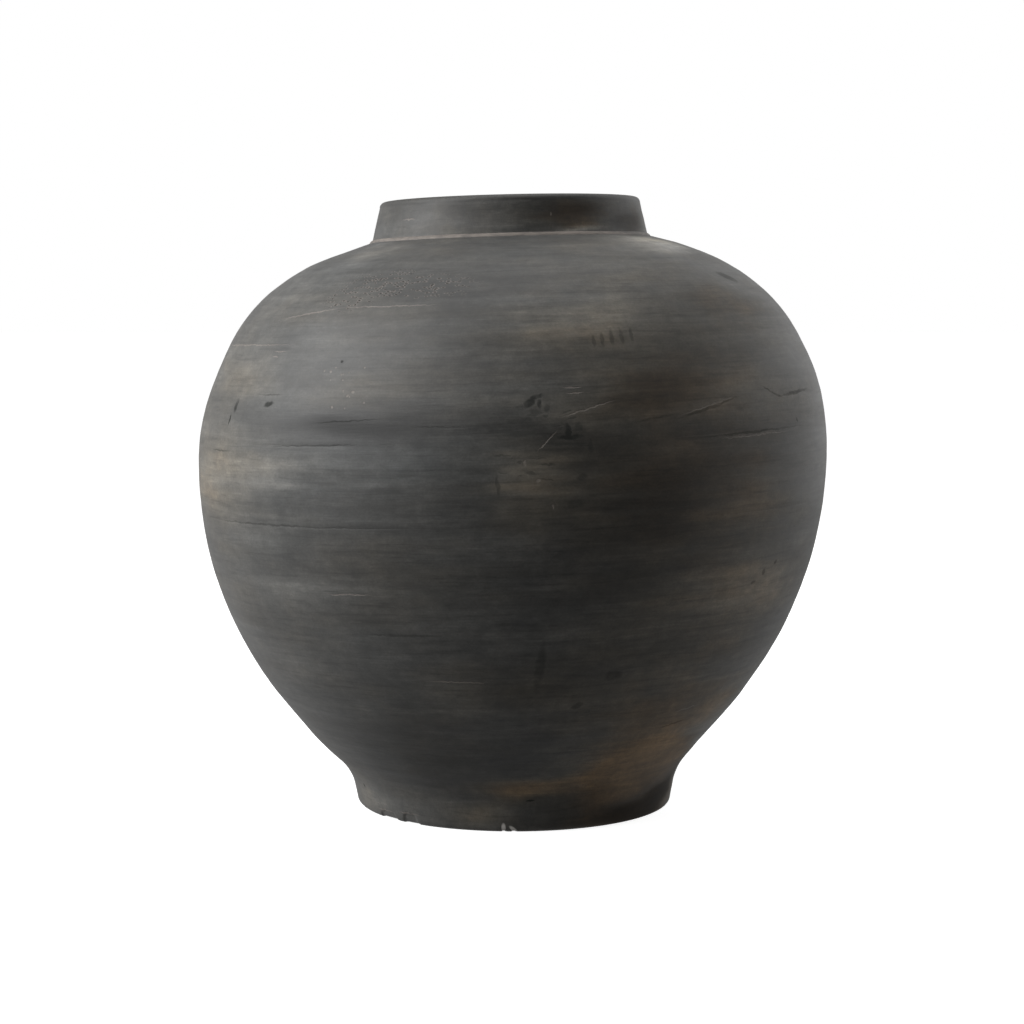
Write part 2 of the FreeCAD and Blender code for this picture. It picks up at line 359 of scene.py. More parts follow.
def inner_relief(azimuth, s):
    """Finger ridges on the inside, which climb as they go round, in metres."""
    climb = s + RIDGE_CLIMB * azimuth / (2 * math.pi)
    ridges = 0.45 * np.sin(2 * math.pi * climb / RIDGE_SPACING + 2 * wavering(azimuth, s, 4, 50 * MM, 31))
    uneven = ridges * 0.6 + 0.5 * wavering(azimuth, s, 14, 22 * MM, 32)
    return uneven * smooth(s, OUT_S[-1] + 12 * MM, OUT_S[-1] + 40 * MM) * MM


def lean(x, z):
    """The hand-made lean: the right side stands a little higher, most of it from the foot."""
    over_foot = 0.025 * smooth(z, 0, 90 * MM)
    over_belly = 0.007 * z / RIM_HEIGHT
    back_at_neck = 0.009 * smooth(z, 340 * MM, 386 * MM)
    return (over_foot + over_belly - back_at_neck) * x


def settle(points):
    """Moves points of the true shape to where the hand-made jar has them.

    The wall is a little slimmer than true, most at the shoulder, and its rings lie off centre. The
    rim sinks, and the shoulder swells beside the neck. The foot stays on the ground.
    """
    x, y, z = points[..., 0], points[..., 1], points[..., 2]
    shrink = 1 - 0.003 * smooth(z, 20 * MM, 60 * MM) * smooth(RIM_HEIGHT - z, 20 * MM, 60 * MM)
    shrink -= 0.006 * bump(z, 294 * MM, 24 * MM)
    shift = 1.4 - 1.8 * z / RIM_HEIGHT + 0.7 * bump(z, 275 * MM, 24 * MM)
    shift -= 1.8 * bump(z, 42 * MM, 18 * MM) + 1.0 * smooth(z, 300 * MM, 330 * MM)
    sink = 2.1 * MM * smooth(z, 358 * MM, 386 * MM)
    swell = 1.0 * MM * bump(z, 351.5 * MM + 0.023 * x, 6 * MM)
    moved = points.copy()
    moved[..., 0] = x * shrink + shift * MM
    moved[..., 1] = y * shrink
    moved[..., 2] = np.maximum(z + lean(x, z) - sink + swell, 0)
    return moved


# ---------------------------------------------------------------- smoke clouding and painted shade
# Patches, most left by the firing and three of them painted shade: azimuth, height, half width (degrees),
# half height (mm), warmth, paleness.
# Warmth turns the charcoal towards brown. Paleness doubles its brightness at 1 and halves it at -1.
PATCHES = {
    "left flank, tan": (-64, 218, 23, 31, 0.2, 1.3),
    "left shoulder, tan": (-62, 283, 13, 15, 0.18, 0.85),
    "left shoulder, dark streak": (-57, 262, 10, 5, 0.0, -0.35),
    "left shoulder, top": (-60, 326, 12, 12, 0.0, 0.45),
    "tan tongue": (-45, 225, 11, 11, 0.12, 0.6),
    "left of the pits": (-49, 348, 10, 11, 0.0, 0.85),
    "lower left, pale": (-40, 158, 22, 10, 0.0, 0.75),
    "lower left, dark": (-32, 46, 27, 30, 0.04, -1.05),
    "specked halo": (-30, 277, 7, 12, 0.16, 0.35),
    "blue-grey band": (-28, 230, 24, 24, -0.15, 0.0),
    # painted shade: darkens the left centre, where the left softbox's light should fall off sooner
    "left centre, painted shade": (-27, 256, 15, 12, -0.05, -1.8),
    "shoulder, dark": (-14, 334, 26, 18, -0.05, -0.75),
    "right shoulder, tan": (11, 309, 14, 16, 0.16, 1.1),
    "right shoulder, warm": (25, 332, 14, 14, 0.2, 0.3),
    "right shoulder, dark": (52, 316, 12, 11, 0.3, 0.0),
    "smear beside the neck": (57, 352, 18, 6, 0.0, 1.8),
    "right, warm": (36, 240, 32, 66, 0.34, -0.05),
    "right, dark": (27, 272, 10, 11, 0.25, -0.8),
    "right, pale": (46, 268, 15, 13, 0.05, 0.75),
    "right flank, tan": (46, 203, 9, 19, 0.15, 0.65),
    "right centre, brown": (34, 200, 22, 38, 0.15, 0.0),
    "centre, tan": (4.8, 222, 5.5, 20, 0.18, 0.75),
    "centre, dark": (3, 253, 8, 9, 0.0, -0.8),
    "centre, green": (15, 238, 9, 14, 0.0, -0.55),
    "centre right, brown": (13, 264, 9, 9, 0.0, 0.6),
    "black core": (24, 206, 8, 19, 0.0, -1.1),
    "lower right, tan": (46, 147, 19, 24, 0.35, 1.6),
    "centre low, pale": (16, 128, 15, 18, 0.05, 0.6),
    "crease, pale": (-13, 98, 10, 24, 0.12, 0.65),
    "orange flash": (34, 54, 19, 24, 0.4, 0.75),
    "orange heart": (45, 32, 18, 18, 1.3, 0.15),
    "right limb, brown": (61, 74, 12, 17, 0.35, 1.0),
    "lower right, warm": (34, 88, 26, 34, 0.4, 0.35),
    # painted shade: darkens the right flank, which the right softbox lights too strongly
    "right flank, shade": (62, 234, 14, 20, 0.0, -0.35),
    "foot, brown": (4, 32, 18, 10, 0.3, 1.1),
    "foot, warm": (18, 26, 32, 12, 0.4, 0.2),
    "foot front": (-12, 10, 13, 7, 0.25, 0.7),
    # these two darken the foot low on its right side, next to the ground
    "foot right, black": (50, 7, 26, 12, 1.5, -2.3),
    "foot far right": (66, 19, 12, 11, 0.8, -2.0),
    "foot left, tan": (-66, 19, 7, 9, 0.12, 0.6),
    "foot left": (-58, 8, 12, 6, 0.0, 0.3),
    "neck, top": (-25, 380, 50, 6, 0.08, -0.65),
    "neck left, tan": (-34, 366, 26, 4, 0.1, 0.0),
    "neck root": (30, 365, 12, 4, 0.0, 2.1),
    "neck right, black": (24, 379, 17, 7, 0.6, -1.2),
    "neck right, brown": (32, 370, 9, 5, 0.4, 0.6),
    # painted shade: darkens the neck's right side, where the right softbox's light is too strong
    "neck far right, painted shade": (60, 371, 16, 12, 0.3, -1.5),
    "back, tan": (165, 235, 26, 34, 0.28, 0.8),
    "back shoulder": (130, 305, 24, 22, 0.3, 0.5),
    "back, black": (-140, 200, 20, 40, 0.0, -0.8),
    "back low, orange": (-160, 70, 28, 30, 0.5, 0.3),
    "right back, black": (100, 180, 16, 36, 0.0, -0.6),
    "left back, tan": (-112, 150, 18, 26, 0.4, 0.7),
    "back foot, black": (170, 10, 26, 10, 0.5, -1.6),
    "back neck": (-150, 372, 30, 9, 0.2, -0.8),
}
RIM_DARK = 0.7                  # how much the worn top of the lip is darker


def outside_clouds_and_shade(azimuth, s, z):
    """Warmth and paleness of the outside, with the painted shade of three patches. drift (degrees) and slip
    (mm) make the patches ragged.
    """
    drift = 3.5 * wavering(azimuth, s, 16, 24 * MM, 41) + 2.5 * wavering(azimuth, s, 34, 3 * MM, 42)
    slip = 5 * wavering(azimuth, s, 9, 22 * MM, 43) + 2 * wavering(azimuth, s, 30, 6 * MM, 44)
    warmth = 0.25 + 0.11 * wavering(azimuth, s, 16, 30 * MM, 45)
    warmth += 0.07 * wavering(azimuth, s, 24, 8 * MM, 46)
    paleness = 0.24 * wavering(azimuth, s, 14, 26 * MM, 47) + 0.20 * wavering(azimuth, s, 18, 5 * MM, 48)
    paleness += 0.22 * wavering(azimuth, s, 44, 12 * MM, 49)
    for place, height, half_width, half_height, warm, pale in PATCHES.values():
        across = (turned_from(azimuth, place) + drift) / half_width
        up = (z / MM - height + slip) / half_height
        inside = np.exp(-(across ** 2 + up ** 2) ** 1.3)
        warmth = warmth + warm * inside
        paleness = paleness + pale * inside
    paleness -= RIM_DARK * smooth(s, OUT_S[-1] - 1.5 * MM, OUT_S[-1])
    return warmth, paleness


def inside_clouds(azimuth, s):
    """The inside is darker at the mouth, with a paler, browner floor."""
    floor = smooth(s, INNER_S["floor_corner"] - 30 * MM, INNER_S["floor_corner"] + 20 * MM)
    warmth = 0.2 + 0.15 * wavering(azimuth, s, 8, 40 * MM, 61) + 0.25 * floor
    paleness = 0.3 * wavering(azimuth, s, 12, 20 * MM, 62) + 0.25 * floor
    return warmth, paleness - RIM_DARK * smooth(OUT_S[-1] + 30 * MM - s, 0, 24 * MM)


def under_clouds(azimuth, s):
    """The underside never saw the smoke: tan and dusty."""
    warmth = 0.55 + 0.15 * wavering(azimuth, s, 10, 30 * MM, 71)
    paleness = 0.75 + 0.3 * wavering(azimuth, s, 16, 12 * MM, 72)
    edge = smooth(s, -6 * MM, 0)
    return warmth, paleness * (1 - edge) - 0.2 * edge


# ---------------------------------------------------------------- meshes
PLAIN, OUTER, INNER, BELOW = 0.0, 1.0, 2.0, 3.0    # which face of the jar a row belongs to
BELLY_NODES = ["lower_belly_band", "mid_belly_band", "wide_belly_band", "lower_shoulder_band"]
# The stretch of the outside that each node shows, as path lengths.
OUTER_REACH = {band: (SEAM_S[low], SEAM_S[high])
               for band, low, high in zip(BELLY_NODES, BELLY_SEAMS, BELLY_SEAMS[1:])}
OUTER_REACH.update({
    "foot_ring": (0.0, SEAM_S["foot"]), "flank_band": (SEAM_S["foot"], SEAM_S["flank"]),
    "upper_shoulder_band": (SEAM_S["shoulder"], SEAM_S["neck"]),
    "neck_collar": (SEAM_S["neck"], SEAM_S["lip"]), "lip_coil": (SEAM_S["lip"], OUT_S[-1]),
})


SHARP_EDGE = 38                 # degrees between faces that shade as an edge


def with_kind(rows, kind):
    return np.hstack([rows, np.full((len(rows), 1), kind)])


def sample(rows, lengths, start, end, step, close=()):
    """Rows of the path from start to end, closer together in the stretches of close."""
    low, high = min(start, end), max(start, end)
    marks = [low]
    while marks[-1] < high - step * 0.5:
        near = any(first <= marks[-1] <= last for first, last in close)
        marks.append(marks[-1] + (EDGE_STEP if near else step))
    marks = np.array(marks)
    marks = low + (marks - low) * (high - low) / (marks[-1] - low)
    if start > end:
        marks = marks[::-1]
    columns = [np.interp(marks, lengths, rows[:, k]) for k in range(4)]
    return np.column_stack(columns + [marks])


# Stretches of the outside that are drawn with closer rows: the seams, the foot's edge and the lip.
CLOSE = [(s - 2.5 * MM, s + 2.5 * MM) for s in SEAM_S.values()]
CLOSE += [(-1.0, FOOT_EDGE_S), (SEAM_S["lip"], 1.0)]


def outer_part(start, end):
    return with_kind(sample(OUTSIDE, OUT_S, start, end, OUTER_STEP, CLOSE), OUTER)


def inner_part(start, end, step=INNER_STEP):
    return with_kind(sample(INSIDE, IN_S, start, end, step), INNER)


def under_part(start, end, step):
    return with_kind(sample(UNDER, UNDER_S, start, end, step), BELOW)


def plain_part(points, s=0.0):
    """Corners of hidden joints, which take no relief."""
    return np.array([[x, z, 0, 0, s, PLAIN] for x, z in points])


def by_kind(kind, outer, inner, below):
    return np.select([kind == OUTER, kind == INNER, kind == BELOW], [outer, inner, below], 0.0)


def turn(name, cad_node, rows, closed=True):
    """Turns section rows about the axis into a smooth closed mesh that stands for a CAD node.

    A section that isn't closed starts and ends on the axis, where a fan of triangles closes it.
    """
    azimuth = np.tile(AZIMUTH, (len(rows), 1))
    columns = (np.tile(column[:, None], AROUND) for column in rows.T)
    true_x, true_z, normal_x, normal_z, s, kind = columns
    rough_under = 0.25 * MM * wavering(azimuth, s, 40, 9 * MM, 73) * smooth(-s, 0, 12 * MM)
    relief = by_kind(kind, outer_relief(azimuth, s), inner_relief(azimuth, s), rough_under)
    radius = true_x + normal_x * relief
    height = true_z + normal_z * relief
    points = settle(np.stack([radius * np.sin(azimuth), -radius * np.cos(azimuth), height], 2))
    clouds = zip(outside_clouds_and_shade(azimuth, s, true_z), inside_clouds(azimuth, s), under_clouds(azimuth, s))
    warmth, paleness = (by_kind(kind, *three).ravel() for three in clouds)
    place = np.stack([np.sin(azimuth) * MAP_RADIUS, -np.cos(azimuth) * MAP_RADIUS, s], 2).reshape(-1, 3)

    count = len(rows)
    ring = np.arange(AROUND)
    after = (ring + 1) % AROUND
    pace = 2 * math.pi / AROUND
    quads, unrolled = [], []
    for i in range(count if closed else count - 1):
        k = (i + 1) % count
        quads.append(np.stack([i * AROUND + ring, i * AROUND + after,
                               k * AROUND + after, k * AROUND + ring], 1))
        turned_by = np.stack([AZIMUTH, AZIMUTH + pace, AZIMUTH + pace, AZIMUTH], 1) * MAP_RADIUS
        along = np.tile([rows[i, 4], rows[i, 4], rows[k, 4], rows[k, 4]], (AROUND, 1))
        unrolled.append(np.stack([turned_by, along, 0 * along], 2).reshape(-1, 3))
    vertices = points.reshape(-1, 3)
    polygons = np.vstack(quads).tolist()
    if not closed:
        for i, order in ((0, 1), (count - 1, -1)):
            pole = len(vertices)
            vertices = np.vstack([vertices, points[i].mean(0)])
            fan = zip((i * AROUND + ring).tolist(), (i * AROUND + after).tolist())
            polygons += [[pole, second, first][::order] for first, second in fan]
            unrolled.append(np.tile([0, rows[i, 4], 0], (3 * AROUND, 1)))
            warmth = np.append(warmth, warmth[i * AROUND])
            paleness = np.append(paleness, paleness[i * AROUND])
            place = np.vstack([place, [0, 0, rows[i, 4]]])

    mesh = bpy.data.meshes.new(name)
    mesh.from_pydata(vertices.tolist(), [], polygons)
    for title, kind_of, domain, key, values in (
            ("ring_place", "FLOAT_VECTOR", "POINT", "vector", place),
            ("unrolled", "FLOAT_VECTOR", "CORNER", "vector", np.vstack(unrolled)),
            ("warmth", "FLOAT", "POINT", "value", warmth),
            ("paleness", "FLOAT", "POINT", "value", paleness)):
        layer = mesh.attributes.new(title, kind_of, domain)
        layer.data.foreach_set(key, np.asarray(values, np.float32).ravel())
    mesh.shade_smooth()
    mesh.set_sharp_from_angle(angle=math.radians(SHARP_EDGE))
    piece = bpy.data.objects.new(name, mesh)
    bpy.context.scene.collection.objects.link(piece)
    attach(piece, "root")
    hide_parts(cad_node)
    return piece


def build_bands():
    """The base, the bands of the wall, the neck and the lip."""
    s, q = SEAM_S, INNER_S
    recess = (RECESS_RADIUS, UNDERSIDE)
    recess_s = UNDER_S[0] + RECESS_RADIUS
    sections = {
        "foot_ring": [under_part(recess_s, 0.0, OUTER_STEP)[:-1], outer_part(0.0, s["foot"]),
                      plain_part([FOOT_KNEE])],
        "flank_band": [outer_part(s["foot"], s["flank"]), inner_part(q["flank"], q["floor_corner"]),
                       inner_part(q["floor_corner"], q["disc"])[1:], plain_part([recess, FOOT_KNEE])],
        "upper_shoulder_band": [outer_part(s["shoulder"], s["neck"]), inner_part(q["neck"], q["shoulder"])],
        "neck_collar": [outer_part(s["neck"], s["lip"]), inner_part(q["lip"], q["neck"], OUTER_STEP)],
        "lip_coil": [outer_part(s["lip"], OUT_S[-1])[:-1], inner_part(OUT_S[-1], q["lip"], EDGE_STEP)],
    }
    for band, low, high in zip(BELLY_NODES, BELLY_SEAMS, BELLY_SEAMS[1:]):
        sections[band] = [outer_part(s[low], s[high]), inner_part(q[high], q[low])]
    bands = {name: turn(name + "_clay", name, np.vstack(parts)) for name, parts in sections.items()}
    disc = [under_part(UNDER_S[0], recess_s, INNER_STEP)[1:], inner_part(q["disc"], IN_S[-1])[:-1]]
    bands["base_disc"] = turn("base_disc_clay", "base_disc", np.vstack(disc), closed=False)
    return bands


def bend(start, control, end, count):
    """A quadratic curve between two points, and how far along it each of its points is."""
    t = np.linspace(0, 1, count)[:, None]
    return (1 - t) ** 2 * start + 2 * t * (1 - t) * control + t ** 2 * end, t


def build_bead():
    """The bead of slip smoothed into the corner at the neck's root."""
    root = PLACES["neck_root"]
    places = root[None, :] + np.array([BEAD_TOP, BEAD_CREST, BEAD_FOOT])
    curve, t = bend(*places, 12)
    normals = np.tile(unit(BEAD_FACING), (len(t), 1))
    s = SEAM_S["neck"] + (0.5 - t) * BEAD_WIDTH
    parts = [with_kind(np.hstack([curve, normals, s])[::-1], OUTER), plain_part([root], SEAM_S["neck"])]
    return turn("neck_joint_bead_slip", "neck_joint_bead", np.vstack(parts))


def build_corner_coil():
    """The coil smeared into the corner between the floor and the wall."""
    corner = PLACES["floor_corner"]
    floor_edge = np.array([CORNER_COIL_INNER, FLOOR_TOP + CORNER_COIL_EDGE])
    rise = (CORNER_COIL_TOP - PLACES["flank"][1]) / (FLANK_ARC - WALL)
    wall_out = unit(math.degrees(math.asin(rise)))
    wall_edge = PLACES["flank"] + wall_out * (FLANK_ARC - WALL - CORNER_COIL_EDGE)
    wall_foot = PLACES["flank"] + wall_out * (FLANK_ARC - WALL)
    towards = (floor_edge - corner) / np.linalg.norm(floor_edge - corner)
    towards = towards + (wall_edge - corner) / np.linalg.norm(wall_edge - corner)
    crest = corner + towards / np.linalg.norm(towards) * CORNER_COIL_FILL
    control = 2 * crest - (floor_edge + wall_edge) / 2
    curve, _ = bend(wall_edge, control, floor_edge, 14)
    slope = np.gradient(curve, axis=0)
    slope /= np.linalg.norm(slope, axis=1)[:, None]
    normals = np.stack([slope[:, 1], -slope[:, 0]], 1)
    top = with_kind(np.hstack([curve, normals, IN_S[-1] - curve[:, :1]]), INNER)
    under = plain_part([(CORNER_COIL_INNER, FLOOR_TOP), tuple(corner), tuple(wall_foot)], 1.0)
    return turn("inner_corner_coil_clay", "inner_corner_coil", np.vstack([top, under]))


pieces = build_bands()
pieces["neck_joint_bead"] = build_bead()
pieces["inner_corner_coil"] = build_corner_coil()

# ---------------------------------------------------------------- marks on the clay
# Each mark is a soft-edged ellipse: azimuth, height, half length and half height (mm), tilt (degrees).
DARK_MARKS = {
    "smudge": (2.7, 264.2, 4.2, 2.6, 38), "smudge tail": (3.8, 267.3, 4.5, 1.5, 14),
    "smudge foot": (4.3, 263.2, 1.6, 3, 5), "centre hollow": (9.0, 248, 2.0, 5, 10),
    "centre hollow 2": (9.3, 244.5, 8, 1.5, 1), "left stroke": (-58.3, 264.5, 2, 4.6, -8),
    "left stroke end": (-59.7, 256, 0.9, 4, -8), "left fleck": (-47.6, 265.5, 4.6, 1.9, 10),
    "halo hole": (-32.2, 289.5, 1.1, 1, 0), "foot hole": (-64, 18, 0.9, 1.5, 0),
    "foot nick": (5.5, 20.5, 3, 0.9, 4), "back stroke": (150, 260, 3, 8, 10),
}
FAINT_MARKS = {
    "dash 1": (14.7, 297.5, 1.2, 4, 4), "dash 2": (16.4, 298, 1.4, 5, 0),
    "dash 3": (18.2, 299, 1.6, 5.4, 0), "dash 4": (20.2, 299.5, 1.4, 5.4, 3),
    "dash 5": (22.2, 300, 1.3, 5, 0), "right seam": (45, 241.5, 50, 0.7, 1),
    "wave": (35, 257, 24, 0.9, 13), "wave 2": (52, 263, 12, 0.8, -20), "wave 3": (24, 253, 12, 0.8, 8),
    "right hook": (59, 246, 2, 1, -50), "right run": (60, 262, 22, 1.1, 4),
    "left seam": (-35, 242, 34, 0.5, 1), "left run": (-62, 237, 13, 0.6, 0),
    "left run 2": (-29, 256, 24, 0.5, 3), "belly seam": (-44, 195, 74, 0.6, 0),
    "left run 3": (-48, 271, 12, 0.5, 0), "middle run": (-12, 252, 16, 0.5, -2),
    "drip": (5, 112, 3, 17, -6), "right spot 1": (48.5, 152, 2.6, 1.1, 10),
    "right spot 2": (51, 157, 1.8, 2.2, 30), "right spot 3": (54.5, 162, 2, 1.3, 40),
    "low spot": (13.5, 86, 4, 2.4, 20), "low haze": (20, 104, 6, 4, 0),
    "crevice 1": (10.7, 250, 2.4, 3, 0), "crevice 2": (9.8, 240.6, 9, 1.1, 0),
    "crevice 3": (1.6, 247, 9, 2.2, 0), "crevice 4": (1.2, 262, 3, 2, 10),
    "crevice 5": (3.6, 259, 3.4, 1.6, -10), "crevice 6": (5.6, 261, 2, 3, 0),
    "crevice 7": (-2.4, 219, 1.3, 6, 6), "crevice 8": (9.1, 207, 10, 3, 0),
    "crevice 9": (12.7, 239, 1.8, 4.4, 0), "crevice 10": (11.2, 222, 3.6, 2, 12),
    "crevice 11": (7, 241, 7, 1.1, 0), "crevice 12": (0.5, 254, 6, 1.3, 0),
    "back run": (-120, 238, 40, 0.9, 1), "back run 2": (172, 197, 60, 0.8, 0),
    "shoulder haze": (60, 332, 9, 4, -20), "low line": (42, 66, 10, 0.8, 8),
    "low line 2": (-20, 132, 24, 0.9, 0),
}
PALE_MARKS = {
    "shoulder seam": (-64, 299.8, 56, 0.45, 0), "seam end": (-49, 296, 6, 0.5, 0),
    "seam end 2": (-50, 293, 3, 0.6, 0), "long scratch": (-45, 317.6, 24, 0.6, 7),
    "long scratch 2": (-26, 320.4, 34, 0.5, 0), "scratch up": (12.4, 260, 16, 0.5, 14),
    "scratch across": (5.6, 243, 8, 0.45, 45), "fine line": (9.9, 272, 6, 0.4, 0),
    "fine line 2": (10.3, 269, 5, 0.4, 0), "under the seam": (46, 239.8, 34, 0.45, 1),
    "over the wave": (35, 258.4, 20, 0.45, 13), "low crease": (-30, 156, 16, 0.5, 1),
    "crease": (-11, 103.4, 18, 0.5, -1), "low scratch": (44, 75, 10, 0.5, 6),
    "centre fleck": (1.9, 231, 0.8, 1.8, 0), "centre fleck 2": (4.1, 221, 1.3, 1.2, 0),
    "centre fleck 3": (6.5, 206, 0.7, 1.5, 0), "rim chip": (6.5, 387.5, 4.5, 1.5, 0),
    "neck fleck": (17, 374.5, 0.6, 1.4, 0), "neck scrape": (-47, 374, 6, 0.7, 0),
    "back scratch": (140, 282, 30, 0.5, 9), "back scratch 2": (-130, 300, 26, 0.5, -5),
    "foot scuff": (-39.5, 6.9, 8, 0.6, 0), "foot scuff 2": (-52, 5.6, 8, 0.6, 0),
}
WHITE_CHIPS = {"foot chip": (-3.7, 3.2, 1.4, 3, 0), "foot chip 2": (-0.4, 2.2, 2.6, 1.5, -20)}
PIT_FIELDS = {"shoulder": (-24, 333, 46, 15, -4), "shoulder, left": (-36, 326, 20, 12, 0),
              "back": (150, 318, 40, 14, 5), "back belly": (-170, 160, 30, 12, 0)}

# Short cracks in the mottled centre, then pale flecks in the specked halo.
for number, (across, up, long, tall) in enumerate(np.random.default_rng(15).uniform(-1, 1, (18, 4))):
    half_length, half_height = 3.6 + 2.2 * long, 0.75 + 0.4 * tall
    FAINT_MARKS[f"crack {number}"] = (4.5 + 7 * across, 237 + 22 * up, half_length, half_height, 12 * up)
for number, (across, up, large) in enumerate(np.random.default_rng(8).uniform(-1, 1, (16, 3))):
    size = 0.75 + 0.25 * large
    PALE_MARKS[f"fleck {number}"] = (-30 + 4.5 * across + 2 * up, 276 - 13 * up, size, size, 0)


def node(tree, kind, inputs=(), **settings):
    """Adds a shader node. inputs pairs a socket's name or number with a value or another socket."""
    made = tree.nodes.new("ShaderNode" + kind)
    for key, value in settings.items():
        setattr(made, key, value)
    for key, value in dict(inputs).items():
        if isinstance(value, bpy.types.NodeSocket):
            tree.links.new(value, made.inputs[key])
        else:
            made.inputs[key].default_value = value
    return made


def math_node(tree, operation, *values, **settings):
    """A Math node's result."""
    return node(tree, "Math", dict(enumerate(values)), operation=operation, **settings).outputs[0]


def attribute(tree, name, output):
    """One of the values that turn() stores on the mesh."""
    return node(tree, "Attribute", attribute_name=name).outputs[output]


def ramp(tree, value, *stops):
    """A colour ramp: each stop is a position and a colour."""
    made = node(tree, "ValToRGB", {"Fac": value})
    elements = made.color_ramp.elements
    elements[0].position, elements[1].position = stops[0][0], stops[-1][0]
    elements[0].color, elements[1].color = stops[0][1] + (1,), stops[-1][1] + (1,)
    for position, colour in stops[1:-1]:
        elements.new(position).color = colour + (1,)
    return made.outputs["Color"]


def soft_step(tree, value, low, high, to_low=0.0, to_high=1.0):
    """Goes smoothly from to_low to to_high as the value goes from low to high."""
    return node(tree, "MapRange", {"Value": value, "From Min": low, "From Max": high,
                                   "To Min": to_low, "To Max": to_high},
                interpolation_type="SMOOTHSTEP").outputs["Result"]


def mix(tree, factor, first, second):
    """The first colour at factor 0, the second at 1."""
    made = node(tree, "Mix", {"Factor": factor}, data_type="RGBA")
    for socket, value in ((made.inputs[6], first), (made.inputs[7], second)):
        if isinstance(value, bpy.types.NodeSocket):
            tree.links.new(value, socket)
        else:
            socket.default_value = value + (1,)
    return made.outputs[2]


def ring_noise(tree, round_scale, up_scale, detail, seed=0.0):
    """Noise stretched round the jar. Scales are features per metre, round it and up it."""
    stretched = node(tree, "Mapping", {"Vector": attribute(tree, "ring_place", "Vector"),
                                       "Location": (seed, seed, seed),
                                       "Scale": (round_scale, round_scale, up_scale)})
    return node(tree, "TexNoise", {"Vector": stretched.outputs[0], "Scale": 1.0, "Detail": detail,
                                   "Roughness": 0.6}).outputs["Fac"]


MARK_BATCH = 8
FAR_AWAY = 9.0                  # a distance that no mark reaches, in half sizes of a mark


def marks_on(marks, reach):
    """The marks that touch a stretch of the outside, from one path length to another."""
    def touches(mark):
        s = outside_at(mark[1] * MM)
        half = (mark[3] + mark[2] * abs(math.sin(math.radians(mark[4])))) * 1.3 * MM
        return reach[0] < s + half and s - half < reach[1]
    return [mark for mark in marks.values() if touches(mark)]


def marks_mask(tree, marks, place):
    """How strongly a list of marks shows at each point, from 0 to 1.

    Each batch of marks waits for the one before it, so the shader never holds them all at once.
    """
    nearest = FAR_AWAY
    flat = node(tree, "SeparateXYZ", {0: place}).outputs
    for number, (azimuth, height, half_length, half_height, tilt) in enumerate(marks):
        if number % MARK_BATCH == 0:
            place = node(tree, "CombineXYZ", {"X": flat["X"], "Y": flat["Y"], "Z": nearest}).outputs[0]
        s = outside_at(height * MM)
        centre = (math.radians(azimuth) * MAP_RADIUS, s, 0)
        stretch = MAP_RADIUS / float(np.interp(s, OUT_S, OUTSIDE[:, 0]))
        local = node(tree, "Mapping", {"Vector": place, "Location": centre,
                                       "Rotation": (0, 0, math.radians(tilt)),
                                       "Scale": (half_length * MM * stretch, half_height * MM, 1e6)},
                     vector_type="TEXTURE").outputs[0]
        away = node(tree, "VectorMath", {0: local}, operation="LENGTH").outputs["Value"]
        nearest = math_node(tree, "MINIMUM", nearest, away)
    return soft_step(tree, nearest, 1.2, 0.55)


SOOT = (0.008, 0.009, 0.007)
PIT_SHADE = (0.012, 0.011, 0.010)
BARE_CLAY = (0.19, 0.165, 0.145)
FRESH_BREAK = (0.45, 0.43, 0.40)
TONE_OFFSET = -2.0
# The clay's colour at mean brightness, from cold charcoal to burnt brown.
CLAY_BY_WARMTH = ((0.0, (0.0478, 0.0495, 0.0490)), (0.25, (0.0512, 0.0502, 0.0466)),
                  (0.5, (0.0555, 0.0503, 0.0412)), (1.0, (0.0770, 0.0500, 0.0250)))


def shaken_place(tree):
    """The unrolled map's place, shifted a little by noise so that marks aren't perfect ellipses."""
    unrolled = attribute(tree, "unrolled", "Vector")
    waver = node(tree, "Mapping", {"Vector": unrolled, "Scale": (260, 260, 1)}).outputs[0]
    waver = node(tree, "TexNoise", {"Vector": waver, "Scale": 1.0, "Detail": 2.0}).outputs["Color"]
    waver = node(tree, "VectorMath", {0: waver, 1: (0.5, 0.5, 0.5)}, operation="SUBTRACT").outputs[0]
    waver = node(tree, "VectorMath", {0: waver, "Scale": 2.2 * MM}, operation="SCALE").outputs[0]
    return unrolled, node(tree, "VectorMath", {0: unrolled, 1: waver}, operation="ADD").outputs[0]


def drag_marks(tree, reach, unrolled, place):
    """Pits and their raised edges, where grit was pulled through the leather-hard shoulder."""
    pitted = marks_mask(tree, marks_on(PIT_FIELDS, reach), unrolled)
    cell_place = node(tree, "Mapping", {"Vector": place, "Rotation": (0, 0, 0.12),
                                        "Scale": (210, 620, 1)}).outputs[0]
    cells = node(tree, "TexVoronoi", {"Vector": cell_place, "Scale": 1.0, "Randomness": 1.0},
                 voronoi_dimensions="2D").outputs
    cell_value = node(tree, "SeparateXYZ", {0: cells["Color"]}).outputs[0]
    chosen = math_node(tree, "GREATER_THAN", cell_value, 0.62)
    hole = soft_step(tree, cells["Distance"], 0.34, 0.14)
    pits = math_node(tree, "MULTIPLY", math_node(tree, "MULTIPLY", hole, chosen), pitted)
    edge = soft_step(tree, cells["Distance"], 0.50, 0.36)
    edge = math_node(tree, "MULTIPLY", math_node(tree, "MULTIPLY", edge, chosen), pitted)
    return pits, math_node(tree, "SUBTRACT", edge, pits, use_clamp=True)


